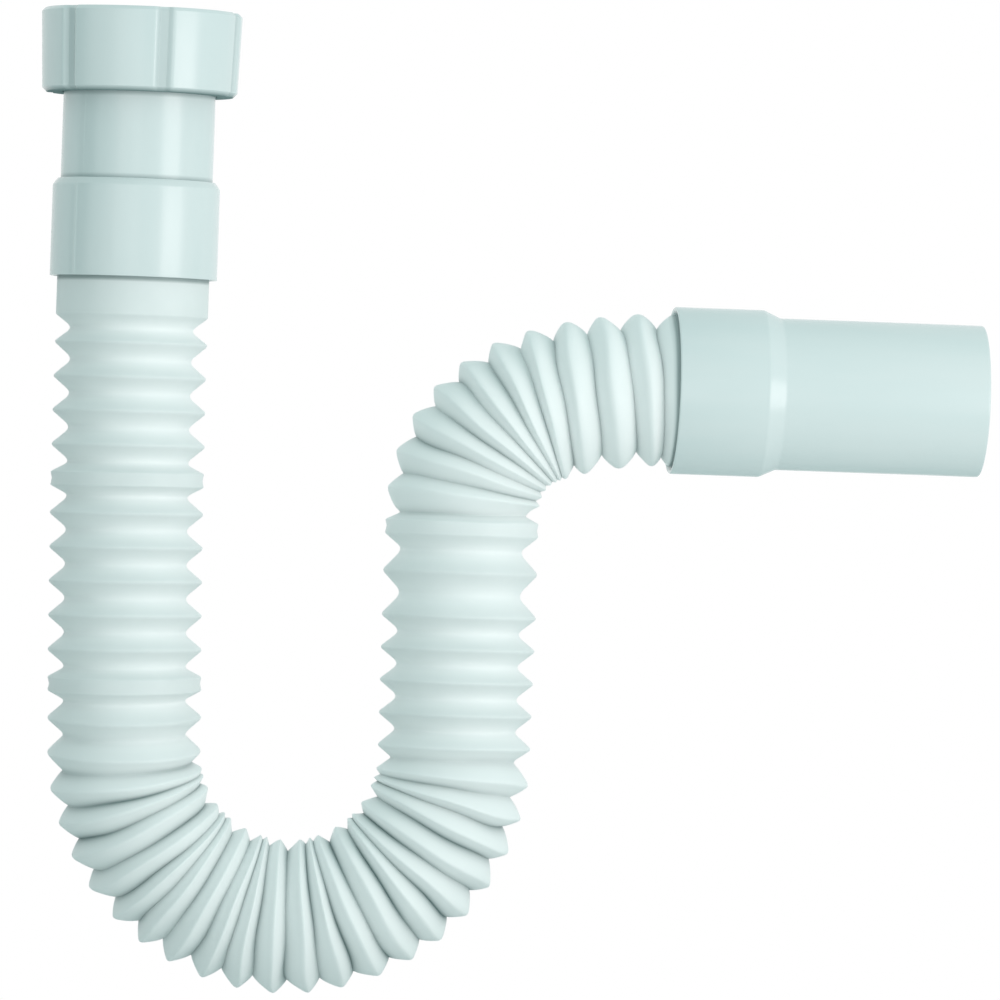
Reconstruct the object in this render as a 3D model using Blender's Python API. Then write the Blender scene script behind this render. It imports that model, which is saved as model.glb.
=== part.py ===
"""Flexible sink trap for a G 1 1/2 waste and a 40 mm drain.

A union nut and a flanged neck hang under the sink's waste. A sleeve joins the
neck to one long pleated hose, which drops, turns back up in a U that holds the
water seal, and turns level in an elbow. A second sleeve, moulded in one with a
plain tail, takes the water on to the drain.

The frame: the origin is the middle of the washer's sealing face, +Z points up
the inlet. The hose lies about the XZ plane, and the outlet points along +X, swung
a few degrees towards +Y.
"""

import math

import bmesh
import bpy
from mathutils import Matrix, Vector

MM = 0.001
FULL_TURN = 2.0 * math.pi

# Clearance between pieces that seat on, or fit in, each other
GAP = 0.3 * MM

# Facets round the turned pieces, the hose, and each lobe of the nut
ROUND_SIDES = 48
HOSE_SIDES = 20
LOBE_POINTS = 7
GROOVE_POINTS = 5

# Pipe sizes shared by the neck and the tail
PIPE_RADIUS = 20.0 * MM
PIPE_WALL = 2.0 * MM
PIPE_EDGE = 0.5 * MM

# Union nut, and the room in its bore for a G 1 1/2 thread beside the flange
THREAD_ROOM = 1.8 * MM
NUT_WALL = 2.4 * MM
NUT_HEIGHT = 22.0 * MM
NUT_DRAFT = 0.5 * MM
NUT_LOBES = 6
NUT_LOBE_TURN = math.radians(14.0)
NUT_GROOVE_DEPTH = 1.1 * MM
NUT_GROOVE_WIDTH = 4.0 * MM
NUT_SHOULDER = 3.4 * MM
NUT_TOP_EDGE = 0.6 * MM
NUT_FOOT_EDGE = 1.1 * MM

# Washer on the flange, and the flange of the neck
WASHER_THICKNESS = 3.0 * MM
WASHER_PROUD = 0.1 * MM
FLANGE_THICKNESS = 3.0 * MM
FLANGE_LEDGE = 2.2 * MM

# Neck showing between the nut and the sleeve
NECK_SHOWING = 22.6 * MM

# Sleeves at both ends of the hose
SLEEVE_WALL = 1.7 * MM
SLEEVE_EDGE = 0.5 * MM
SLEEVE_LIP = 0.4 * MM
SLEEVE_TOP_BEVEL = 1.8 * MM
INLET_SLEEVE_LENGTH = 25.7 * MM
NECK_PLUG_DEPTH = 10.3 * MM
STOP_THICKNESS = 2.0 * MM
OUTLET_SOCKET_DEPTH = 22.3 * MM
OUTLET_SLEEVE_LENGTH = 23.6 * MM
OUTLET_TAPER_LENGTH = 4.4 * MM
TAIL_LENGTH = 54.0 * MM

# Hose wall and folds
HOSE_WALL = 1.0 * MM
CREST_PROUD = 0.3 * MM
FOLD_DEPTH = 4.5 * MM
WIDE_CREST = 3.2 * MM
WIDE_CRESTS = (5, 11, 40)

# Groove near each end of the hose and the ring in it
GROOVE_DEPTH = 2.8 * MM
GROOVE_FLOOR = 2.0 * MM
GROOVE_MOUTH = 4.8 * MM
GROOVE_TO_MOUTH = 6.5 * MM
RING_SIDES = 8

# Route of the hose: lengths on its centreline, turns to the left when positive
COLLAR_LENGTH = 8.3 * MM
COLLAR_REACH = 1.5 * MM
LEG_LENGTH = 116.3 * MM
LEG_TURN = math.radians(1.9)
U_RADIUS = 43.4 * MM
RISER_FOOT_LENGTH = 37.1 * MM
RISER_TOP_LENGTH = 28.5 * MM
ELBOW_RADIUS = 29.0 * MM
ELBOW_TURN = math.radians(72.0)
STUB_RADIUS = 110.0 * MM
STUB_TURN = math.pi / 2.0 - ELBOW_TURN

# How far the outlet swings sideways, evenly over the stub
OUTLET_SWING = math.radians(5.0)

# Spacing of the folds, measured along the outside of the bends
LEG_PITCH = 9.0 * MM
U_PITCH = 9.57 * MM
RISER_FOOT_PITCH = 8.6 * MM
RISER_TOP_PITCH = 11.6 * MM
ELBOW_PITCH = 9.75 * MM

# How far the folds lean out of square in each bend, and in how many waves
U_LEAN = math.radians(1.6)
U_WAVES = 6.0
ELBOW_LEAN = math.radians(2.0)
ELBOW_WAVES = 0.5
STUB_LEAN = math.radians(-3.0)
STUB_WAVES = 1.0

# Levels on the inlet's axis, from the sealing face down
FLANGE_TOP = -WASHER_THICKNESS - GAP
FLANGE_FOOT = FLANGE_TOP - FLANGE_THICKNESS
NUT_SEAT = FLANGE_FOOT - GAP
NUT_FOOT = NUT_SEAT - NUT_SHOULDER
NUT_TOP = NUT_FOOT + NUT_HEIGHT
SLEEVE_TOP = NUT_FOOT - NECK_SHOWING
SLEEVE_MOUTH = SLEEVE_TOP - INLET_SLEEVE_LENGTH
STOP_TOP = SLEEVE_TOP - NECK_PLUG_DEPTH
STOP_FOOT = STOP_TOP - STOP_THICKNESS
NECK_FOOT = STOP_TOP + GAP

# Radii that follow from the pipe's and from the fits
PIPE_BORE_RADIUS = PIPE_RADIUS - PIPE_WALL
FLANGE_RADIUS = PIPE_RADIUS + FLANGE_LEDGE
WASHER_RADIUS = FLANGE_RADIUS + WASHER_PROUD
NUT_HOLE_RADIUS = PIPE_RADIUS + GAP
NUT_BORE_RADIUS = FLANGE_RADIUS + THREAD_ROOM
NUT_RADIUS = NUT_BORE_RADIUS + NUT_WALL
SOCKET_RADIUS = PIPE_RADIUS + GAP
SLEEVE_RADIUS = SOCKET_RADIUS + SLEEVE_WALL
CUFF_RADIUS = PIPE_RADIUS
CREST_RADIUS = CUFF_RADIUS + CREST_PROUD
VALLEY_RADIUS = CREST_RADIUS - FOLD_DEPTH
GROOVE_RADIUS = CUFF_RADIUS - GROOVE_DEPTH
SLEEVE_LIP_RADIUS = SOCKET_RADIUS + SLEEVE_LIP
RING_RADIUS = (SOCKET_RADIUS - GROOVE_RADIUS) / 2.0 - GAP
RING_MIDDLE_RADIUS = (SOCKET_RADIUS + GROOVE_RADIUS) / 2.0

# How far the hose's ends reach into the two sockets
INLET_GRIP = STOP_FOOT - SLEEVE_MOUTH - GAP
OUTLET_GRIP = OUTLET_SOCKET_DEPTH - GAP

# Colours, as red, green and blue
FITTING_COLOUR = (0.74, 0.83, 0.83)
HOSE_COLOUR = (0.76, 0.85, 0.85)
RUBBER_COLOUR = (0.035, 0.035, 0.038)


def clear_scene():
    """Remove whatever the scene holds."""
    for thing in list(bpy.context.scene.objects):
        bpy.data.objects.remove(thing, do_unlink=True)


def plain_material(name, colour, roughness):
    """One Principled material of a single colour."""
    look = bpy.data.materials.new(name)
    look.use_nodes = True
    shader = look.node_tree.nodes["Principled BSDF"]
    shader.inputs["Base Color"].default_value = (*colour, 1.0)
    shader.inputs["Roughness"].default_value = roughness
    shader.inputs["Metallic"].default_value = 0.0
    look.diffuse_color = (*colour, 1.0)
    return look


def add_object(name, mesh, look):
    """Put a finished mesh in the scene under its own name."""
    mesh.shade_smooth()
    mesh.set_sharp_from_angle(angle=math.radians(32.0))
    mesh.materials.append(look)
    thing = bpy.data.objects.new(name, mesh)
    bpy.context.scene.collection.objects.link(thing)
    return thing


def mesh_from_rings(name, rings):
    """Join each ring of points to the next, and the last to the first."""
    work = bmesh.new()
    loops = [[work.verts.new(point) for point in ring] for ring in rings]
    for index, loop in enumerate(loops):
        following = loops[(index + 1) % len(loops)]
        for side in range(len(loop)):
            after = (side + 1) % len(loop)
            work.faces.new((loop[side], loop[after], following[after], following[side]))
    bmesh.ops.recalc_face_normals(work, faces=work.faces)
    mesh = bpy.data.meshes.new(name)
    work.to_mesh(mesh)
    work.free()
    return mesh


def turned_mesh(name, profile):
    """Turn a closed outline of (radius, height) points about the Z axis."""
    work = bmesh.new()
    corners = [work.verts.new((radius, 0.0, height)) for radius, height in profile]
    edges = [work.edges.new((corners[i - 1], corners[i])) for i in range(len(corners))]
    bmesh.ops.spin(
        work,
        geom=corners + edges,
        cent=(0.0, 0.0, 0.0),
        axis=(0.0, 0.0, 1.0),
        angle=FULL_TURN,
        steps=ROUND_SIDES,
        use_merge=True,
    )
    bmesh.ops.recalc_face_normals(work, faces=work.faces)
    mesh = bpy.data.meshes.new(name)
    work.to_mesh(mesh)
    work.free()
    return mesh


# The route of the hose

def direction(heading):
    """Unit vector in the XZ plane at an angle above +X."""
    return Vector((math.cos(heading), 0.0, math.sin(heading)))


def swung(vector, swing):
    """A vector turned about Z, from +X towards +Y."""
    return Matrix.Rotation(swing, 3, "Z") @ vector


def step_along(point, heading, length, turn):
    """End point and heading of a stretch that turns evenly over its length."""
    if abs(turn) < 1e-9:
        return point + length * direction(heading), heading
    radius = length / turn
    start_side = direction(heading - math.pi / 2.0)
    end_side = direction(heading + turn - math.pi / 2.0)
    return point + radius * (end_side - start_side), heading + turn


def hose_stretches():
    """The hose's stretches as (length, turn, lean, waves, swing), from the inlet sleeve."""
    u_turn = math.pi - LEG_TURN
    return (
        (COLLAR_LENGTH, 0.0, 0.0, 0.0, 0.0),
        (LEG_LENGTH, LEG_TURN, 0.0, 0.0, 0.0),
        (U_RADIUS * u_turn, u_turn, U_LEAN, U_WAVES, 0.0),
        (RISER_FOOT_LENGTH, 0.0, 0.0, 0.0, 0.0),
        (RISER_TOP_LENGTH, 0.0, 0.0, 0.0, 0.0),
        (ELBOW_RADIUS * ELBOW_TURN, -ELBOW_TURN, ELBOW_LEAN, ELBOW_WAVES, 0.0),
        (STUB_RADIUS * STUB_TURN, -STUB_TURN, STUB_LEAN, STUB_WAVES, OUTLET_SWING),
    )


def hose_station(distance):
    """Centre, heading, swing, lean and outer side at a distance from the inlet sleeve's mouth."""
    start = Vector((0.0, 0.0, SLEEVE_MOUTH))
    heading = -math.pi / 2.0
    if distance <= 0.0:
        return start + distance * direction(heading), heading, 0.0, 0.0, -1.0
    outer = -1.0
    swing = 0.0
    for length, turn, lean, waves, swing in hose_stretches():
        if turn != 0.0:
            outer = -math.copysign(1.0, turn)
        share = min(1.0, distance / length)
        end, end_heading = step_along(start, heading, length * share, turn * share)
        centre = start + swung(end - start, swing * share / 2.0)
        if distance <= length:
            lean_here = lean * math.sin(FULL_TURN * waves * share)
            return centre, end_heading, swing * share, lean_here, outer
        start, heading = centre, end_heading
        distance -= length
    return start + distance * swung(direction(heading), swing), heading, swing, 0.0, outer


def route_length():
    """Length of the centreline from one sleeve's mouth to the other's."""
    return sum(stretch[0] for stretch in hose_stretches())


def fold_distances():
    """Distances of the crests, spaced by each stretch's pitch along the outside of the bends."""
    collar, leg, *bends = hose_stretches()
    leg_folds = max(1, round(leg[0] / LEG_PITCH))
    crests = [collar[0] + leg[0] * k / leg_folds for k in range(leg_folds + 1)]
    pitches = (U_PITCH, RISER_FOOT_PITCH, RISER_TOP_PITCH, ELBOW_PITCH, ELBOW_PITCH)
    folds = [
        (length + abs(turn) * CREST_RADIUS) / pitch
        for (length, turn, _, _, _), pitch in zip(bends, pitches)
    ]
    bend_folds = max(1, round(sum(folds)))
    for k in range(1, bend_folds + 1):
        remaining = sum(folds) * k / bend_folds
        distance = collar[0] + leg[0]
        for stretch, held in zip(bends, folds):
            share = min(1.0, remaining / held)
            distance += stretch[0] * share
            remaining -= held * share
        crests.append(distance)
    return crests


def hose_profile():
    """The hose's outer side as (distance, radius) pairs from end to end."""
    crests = fold_distances()
    crests[0] += COLLAR_REACH
    end = route_length()
    half_floor = GROOVE_FLOOR / 2.0
    half_mouth = GROOVE_MOUTH / 2.0
    groove = (
        (-half_mouth, CUFF_RADIUS),
        (-half_floor, GROOVE_RADIUS),
        (half_floor, GROOVE_RADIUS),
        (half_mouth, CUFF_RADIUS),
    )
    profile = [(-INLET_GRIP, CUFF_RADIUS)]
    profile += [(shift - GROOVE_TO_MOUTH, radius) for shift, radius in groove]
    profile.append((crests[0], CUFF_RADIUS))
    for number in range(1, len(crests)):
        before, here = crests[number - 1], crests[number]
        profile.append(((before + here) / 2.0, VALLEY_RADIUS))
        if number == len(crests) - 1:
            profile.append((here, CUFF_RADIUS))
        elif number in WIDE_CRESTS:
            profile.append((here - WIDE_CREST / 2.0, CREST_RADIUS))
            profile.append((here + WIDE_CREST / 2.0, CREST_RADIUS))
        else:
            profile.append((here, CREST_RADIUS))
    profile += [(end + shift + GROOVE_TO_MOUTH, radius) for shift, radius in groove]
    profile.append((end + OUTLET_GRIP, CUFF_RADIUS))
    return profile


def hose_ring(distance, radius):
    """One ring of points, leaning about the outside of its bend."""
    centre, heading, swing, lean, outer = hose_station(distance)
    hinge = outer * CREST_RADIUS * direction(heading + math.pi / 2.0)
    side = direction(heading + outer * lean + math.pi / 2.0)
    middle = hinge - outer * CREST_RADIUS * side
    width = Vector((0.0, 1.0, 0.0))
    points = []
    for k in range(HOSE_SIDES):
        angle = FULL_TURN * k / HOSE_SIDES
        spoke = middle + radius * (math.cos(angle) * side + math.sin(angle) * width)
        points.append(centre + swung(spoke, swing))
    return points


# The pieces

def nut_ring(radius, height, groove_depth):
    """One ring round the nut: wide lobes with a narrow groove between each two."""
    groove_half = NUT_GROOVE_WIDTH / 2.0 / NUT_RADIUS
    lobe_half = math.pi / NUT_LOBES - groove_half
    points = []
    for lobe in range(NUT_LOBES):
        middle = FULL_TURN * lobe / NUT_LOBES + NUT_LOBE_TURN
        for k in range(LOBE_POINTS):
            angle = middle + lobe_half * (2.0 * k / (LOBE_POINTS - 1) - 1.0)
            points.append((radius, angle))
        for k in range(1, GROOVE_POINTS + 1):
            across = 2.0 * k / (GROOVE_POINTS + 1) - 1.0
            angle = middle + math.pi / NUT_LOBES + groove_half * across
            dip = groove_depth * (1.0 + math.cos(math.pi * across)) / 2.0
            points.append((radius - dip, angle))
    return [(r * math.cos(angle), r * math.sin(angle), height) for r, angle in points]


def build_union_nut(look):
    """The lobed nut that turns on the neck, its bore a hair over the thread's major size."""
    foot_radius = NUT_RADIUS - NUT_DRAFT
    rings = (
        nut_ring(NUT_RADIUS - NUT_TOP_EDGE, NUT_TOP, NUT_GROOVE_DEPTH),
        nut_ring(NUT_RADIUS, NUT_TOP - NUT_TOP_EDGE, NUT_GROOVE_DEPTH),
        nut_ring(foot_radius, NUT_FOOT + NUT_FOOT_EDGE, NUT_GROOVE_DEPTH),
        nut_ring(foot_radius - NUT_FOOT_EDGE, NUT_FOOT, NUT_GROOVE_DEPTH),
        nut_ring(NUT_HOLE_RADIUS, NUT_FOOT, 0.0),
        nut_ring(NUT_HOLE_RADIUS, NUT_SEAT, 0.0),
        nut_ring(NUT_BORE_RADIUS, NUT_SEAT, 0.0),
        nut_ring(NUT_BORE_RADIUS, NUT_TOP, 0.0),
    )
    return add_object("union_nut", mesh_from_rings("union_nut", rings), look)


def build_inlet_washer(look):
    """The flat rubber washer whose top is the sealing face."""
    profile = (
        (PIPE_BORE_RADIUS, 0.0),
        (WASHER_RADIUS, 0.0),
        (WASHER_RADIUS, -WASHER_THICKNESS),
        (PIPE_BORE_RADIUS, -WASHER_THICKNESS),
    )
    return add_object("inlet_washer", turned_mesh("inlet_washer", profile), look)


def build_flanged_neck(look):
    """The short pipe whose flange the nut pulls up against the washer."""
    profile = (
        (PIPE_BORE_RADIUS, FLANGE_TOP),
        (FLANGE_RADIUS, FLANGE_TOP),
        (FLANGE_RADIUS, FLANGE_FOOT),
        (PIPE_RADIUS, FLANGE_FOOT),
        (PIPE_RADIUS, NECK_FOOT + PIPE_EDGE),
        (PIPE_RADIUS - PIPE_EDGE, NECK_FOOT),
        (PIPE_BORE_RADIUS, NECK_FOOT),
    )
    return add_object("flanged_neck", turned_mesh("flanged_neck", profile), look)


def build_inlet_sleeve(look):
    """The sleeve over the neck's foot and the hose's upper end, with a stop between."""
    profile = (
        (SOCKET_RADIUS, SLEEVE_TOP),
        (SLEEVE_LIP_RADIUS, SLEEVE_TOP),
        (SLEEVE_RADIUS, SLEEVE_TOP - SLEEVE_TOP_BEVEL),
        (SLEEVE_RADIUS, SLEEVE_MOUTH + SLEEVE_EDGE),
        (SLEEVE_RADIUS - SLEEVE_EDGE, SLEEVE_MOUTH),
        (SOCKET_RADIUS, SLEEVE_MOUTH),
        (SOCKET_RADIUS, STOP_FOOT),
        (PIPE_BORE_RADIUS, STOP_FOOT),
        (PIPE_BORE_RADIUS, STOP_TOP),
        (SOCKET_RADIUS, STOP_TOP),
    )
    return add_object("inlet_sleeve", turned_mesh("inlet_sleeve", profile), look)


def build_hose(look):
    """The pleated hose, moulded in one piece with a plain cuff at each end."""
    profile = hose_profile()
    outside = [hose_ring(distance, radius) for distance, radius in profile]
    inside = [hose_ring(distance, radius - HOSE_WALL) for distance, radius in reversed(profile)]
    return add_object("hose", mesh_from_rings("hose", outside + inside), look)


def seal_ring_mesh(name):
    """A round rubber ring about the Z axis, centred on its origin."""
    profile = []
    for k in range(RING_SIDES):
        angle = FULL_TURN * k / RING_SIDES
        radius = RING_MIDDLE_RADIUS + RING_RADIUS * math.cos(angle)
        profile.append((radius, RING_RADIUS * math.sin(angle)))
    return turned_mesh(name, profile)


def build_inlet_seal_ring(look):
    """The ring in the hose's upper groove."""
    ring = add_object("inlet_seal_ring", seal_ring_mesh("inlet_seal_ring"), look)
    ring.location = (0.0, 0.0, SLEEVE_MOUTH + GROOVE_TO_MOUTH)
    return ring


def build_outlet_seal_ring(look, pivot, mouth, heading, swing):
    """The ring in the hose's lower groove."""
    ring = add_object("outlet_seal_ring", seal_ring_mesh("outlet_seal_ring"), look)
    middle = mouth + GROOVE_TO_MOUTH * swung(direction(heading), swing)
    place_on_pivot(ring, pivot, middle, heading, swing)
    return ring


def build_outlet_tail(look, pivot, mouth, heading, swing):
    """The outlet sleeve and its plain tail, one moulded piece along its own Z."""
    taper_end = OUTLET_SLEEVE_LENGTH + OUTLET_TAPER_LENGTH
    tail_end = taper_end + TAIL_LENGTH
    profile = (
        (SOCKET_RADIUS, 0.0),
        (SLEEVE_RADIUS - SLEEVE_EDGE, 0.0),
        (SLEEVE_RADIUS, SLEEVE_EDGE),
        (SLEEVE_RADIUS, OUTLET_SLEEVE_LENGTH),
        (PIPE_RADIUS, taper_end),
        (PIPE_RADIUS, tail_end - PIPE_EDGE),
        (PIPE_RADIUS - PIPE_EDGE, tail_end),
        (PIPE_BORE_RADIUS, tail_end),
        (PIPE_BORE_RADIUS, OUTLET_SOCKET_DEPTH),
        (SOCKET_RADIUS, OUTLET_SOCKET_DEPTH),
    )
    tail = add_object("outlet_tail", turned_mesh("outlet_tail", profile), look)
    place_on_pivot(tail, pivot, mouth, heading, swing)
    return tail


def add_outlet_pivot():
    """The empty about whose Y axis the outlet end tilts, halfway along the stub."""
    pivot = bpy.data.objects.new("outlet_pivot", None)
    stub_length = hose_stretches()[-1][0]
    pivot.location = hose_station(route_length() - stub_length / 2.0)[0]
    pivot.empty_display_size = PIPE_RADIUS
    bpy.context.scene.collection.objects.link(pivot)
    return pivot


def place_on_pivot(thing, pivot, point, heading, swing):
    """Hang a piece on the pivot, with its own Z along the heading and swing."""
    thing.parent = pivot
    thing.location = point - pivot.location
    thing.rotation_euler = (0.0, math.pi / 2.0 - heading, swing)


def main():
    """Build the whole trap."""
    clear_scene()
    fitting = plain_material("fitting_plastic", FITTING_COLOUR, 0.28)
    soft = plain_material("hose_plastic", HOSE_COLOUR, 0.5)
    rubber = plain_material("rubber", RUBBER_COLOUR, 0.8)
    build_union_nut(fitting)
    build_inlet_washer(rubber)
    build_flanged_neck(fitting)
    build_inlet_sleeve(fitting)
    build_inlet_seal_ring(rubber)
    build_hose(soft)
    pivot = add_outlet_pivot()
    mouth, heading, swing, _, _ = hose_station(route_length())
    build_outlet_seal_ring(rubber, pivot, mouth, heading, swing)
    build_outlet_tail(fitting, pivot, mouth, heading, swing)
    bpy.context.view_layer.update()


main()
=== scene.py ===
"""The looks of a flexible sink trap, laid out as an add-on and run as a script.

Each operator models one piece, or one group of like pieces, in its own place
in the frame and gives it its finish; each piece but the hose's two halves is
given the body that carries it. The panel in the sidebar lists the operators
with the sizes and colours that they read.
"""

import math
from itertools import accumulate

import bmesh
import bpy
import numpy as np
from bpy.props import (
    FloatProperty,
    FloatVectorProperty,
    IntProperty,
    PointerProperty,
)
from mathutils import Matrix, Vector


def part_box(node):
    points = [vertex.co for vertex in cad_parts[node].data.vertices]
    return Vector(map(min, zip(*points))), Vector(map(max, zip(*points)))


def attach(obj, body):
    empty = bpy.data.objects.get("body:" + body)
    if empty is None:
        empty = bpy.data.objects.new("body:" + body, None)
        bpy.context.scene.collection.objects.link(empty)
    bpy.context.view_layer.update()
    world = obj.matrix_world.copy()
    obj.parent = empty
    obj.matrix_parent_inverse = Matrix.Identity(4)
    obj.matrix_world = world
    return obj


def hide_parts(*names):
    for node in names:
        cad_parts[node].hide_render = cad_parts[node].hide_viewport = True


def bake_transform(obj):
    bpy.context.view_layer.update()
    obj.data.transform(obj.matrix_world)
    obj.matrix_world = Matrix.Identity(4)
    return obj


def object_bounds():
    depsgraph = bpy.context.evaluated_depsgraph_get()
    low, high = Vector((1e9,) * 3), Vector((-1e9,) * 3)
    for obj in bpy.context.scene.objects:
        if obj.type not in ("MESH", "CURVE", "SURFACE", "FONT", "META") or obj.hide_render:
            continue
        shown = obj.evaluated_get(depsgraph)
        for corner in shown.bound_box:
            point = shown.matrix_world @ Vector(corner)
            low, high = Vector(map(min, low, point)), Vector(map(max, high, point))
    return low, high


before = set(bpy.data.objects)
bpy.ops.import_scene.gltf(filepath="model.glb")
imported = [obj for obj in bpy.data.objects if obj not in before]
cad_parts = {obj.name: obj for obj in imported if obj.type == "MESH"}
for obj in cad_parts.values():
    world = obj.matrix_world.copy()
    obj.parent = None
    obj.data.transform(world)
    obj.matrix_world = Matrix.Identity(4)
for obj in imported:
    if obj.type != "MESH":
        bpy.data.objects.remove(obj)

bl_info = {
    "name": "Flexible sink trap",
    "version": (1, 0, 0),
    "blender": (4, 5, 0),
    "location": "View3D > Sidebar > Sink trap",
    "description": "Models the pieces of a flexible sink trap and lights them",
    "category": "Object",
}

FULL_TURN = 2.0 * math.pi
MM = 0.001

# How close two places count as one, and two vertices as the same
NEAR = 0.01 * MM
SAME = 0.001 * MM

# Places that the frame gives
CAD_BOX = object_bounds()
NUT_LOW, NUT_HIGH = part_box("union_nut")
WASHER_LOW, WASHER_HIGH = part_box("inlet_washer")
NECK_LOW, NECK_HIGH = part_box("flanged_neck")
SLEEVE_LOW, SLEEVE_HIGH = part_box("inlet_sleeve")
RING_LOW, RING_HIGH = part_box("inlet_seal_ring")


# The kinds of setting

def length(name, description, default):
    """A size that a user may change."""
    return FloatProperty(name=name, description=description, default=default,
                         unit="LENGTH", precision=5)


def angle(name, description, degrees):
    """An angle that a user may change."""
    return FloatProperty(name=name, description=description,
                         default=math.radians(degrees), subtype="ANGLE")


def share(name, description, default):
    """A share between nothing and all."""
    return FloatProperty(name=name, description=description, default=default,
                         min=0.0, max=1.0, subtype="FACTOR")


def colour(name, description, default):
    """A colour that a user may change."""
    return FloatVectorProperty(name=name, description=description, default=default,
                               size=3, min=0.0, max=1.0, subtype="COLOR")


def lengths(name, description, default):
    """Two or three sizes that go together."""
    return FloatVectorProperty(name=name, description=description, default=default,
                               size=len(default), unit="LENGTH")


def count(name, description, default):
    """A number of like things."""
    return IntProperty(name=name, description=description, default=default, min=1)


# Sizes and colours

class NutSizes(bpy.types.PropertyGroup):
    """Sizes of the union nut."""

    outside: length("Outside", "Radius over the lobes", 26.4 * MM)
    draft: length("Draft", "How much smaller the foot is than the top", 0.7 * MM)
    lobes: count("Lobes", "Lobes round the nut", 6)
    lobe_turn: angle("Lobe turn", "How far the first lobe is turned from +X", 16.0)
    groove_depth: length("Groove depth", "Depth between two lobes", 1.15 * MM)
    groove_width: length("Groove width", "Width between two lobes", 5.2 * MM)
    groove_floor: length("Groove floor", "Flat width down between two lobes", 2.0 * MM)
    shoulder: length("Shoulder", "Thickness of the shoulder under the flange", 3.4 * MM)
    foot_edge: length("Foot edge", "Chamfer round the foot", 1.1 * MM)
    top_edge: length("Top edge", "Chamfer round the top", 0.9 * MM)
    edge: length("Edge", "Rounding of the moulded edges", 0.45 * MM)
    # Painted shade between the lobes
    groove_shade: share("Groove shade", "How dark it is between two lobes", 0.26)
    lead: length("Lead", "Width of the chamfer at the bore's top", 0.5 * MM)
    lead_depth: length("Lead depth", "Depth of that chamfer", 0.8 * MM)
    hole: length("Hole", "Radius of the hole that the neck passes through", 20.3 * MM)
    thread_major: length("Thread major", "Radius at the thread's root in the nut", 23.95 * MM)
    thread_minor: length("Thread minor", "Radius at the thread's crest in the nut", 22.5 * MM)
    thread_pitch: length("Thread pitch", "Rise of the thread in one turn", 2.309 * MM)
    thread_turns: count("Thread turns", "Turns of the thread", 4)
    thread_place: length("Thread place", "From the nut's top to the thread's end", 1.6 * MM)


class PipeSizes(bpy.types.PropertyGroup):
    """Sizes of the neck, the sleeves and the tail."""

    pipe: length("Pipe", "Outer radius of the neck and the tail", 20.0 * MM)
    bore: length("Bore", "Inner radius of the neck and the tail", 18.0 * MM)
    socket: length("Socket", "Inner radius of the sleeves", 20.3 * MM)
    sleeve: length("Sleeve", "Outer radius of the sleeves", 22.0 * MM)
    flange: length("Flange", "Thickness of the neck's flange", 3.0 * MM)
    stop: length("Stop", "Thickness of the stop in the inlet sleeve", 2.0 * MM)
    plug_depth: length("Plug depth", "How deep the neck sits in the inlet sleeve", 10.3 * MM)
    top_bevel: length("Top bevel", "Height of the bevel on the inlet sleeve", 1.8 * MM)
    lip: length("Lip", "Width of the inlet sleeve's top edge", 0.4 * MM)
    outlet_sleeve: length("Outlet sleeve", "Length of the outlet sleeve", 23.6 * MM)
    outlet_socket: length("Outlet socket", "Depth of the outlet sleeve's socket", 22.3 * MM)
    taper: length("Taper", "Length of the cone behind the outlet sleeve", 4.4 * MM)
    tail: length("Tail", "Length of the plain tail", 54.0 * MM)
    edge: length("Edge", "Rounding of the moulded edges", 0.45 * MM)
    lead: length("Lead", "Width of the chamfer inside the sleeves' mouths", 0.8 * MM)
    lead_depth: length("Lead depth", "Depth of that chamfer", 1.3 * MM)
    seam: length("Seam", "Height of the mould's parting line", 0.13 * MM)
    seam_turn: angle("Seam turn", "Where the parting line stands, from +X", 47.0)
    # Painted shadow on the neck beside the nut's foot and the sleeve's top
    joint_shade: share("Joint shade", "How dark the neck is beside its joints", 0.45)
    joint_dark: length("Joint dark", "Width of that shade", 0.4 * MM)
    joint_fade: length("Joint fade", "Width over which it fades", 0.9 * MM)


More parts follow.
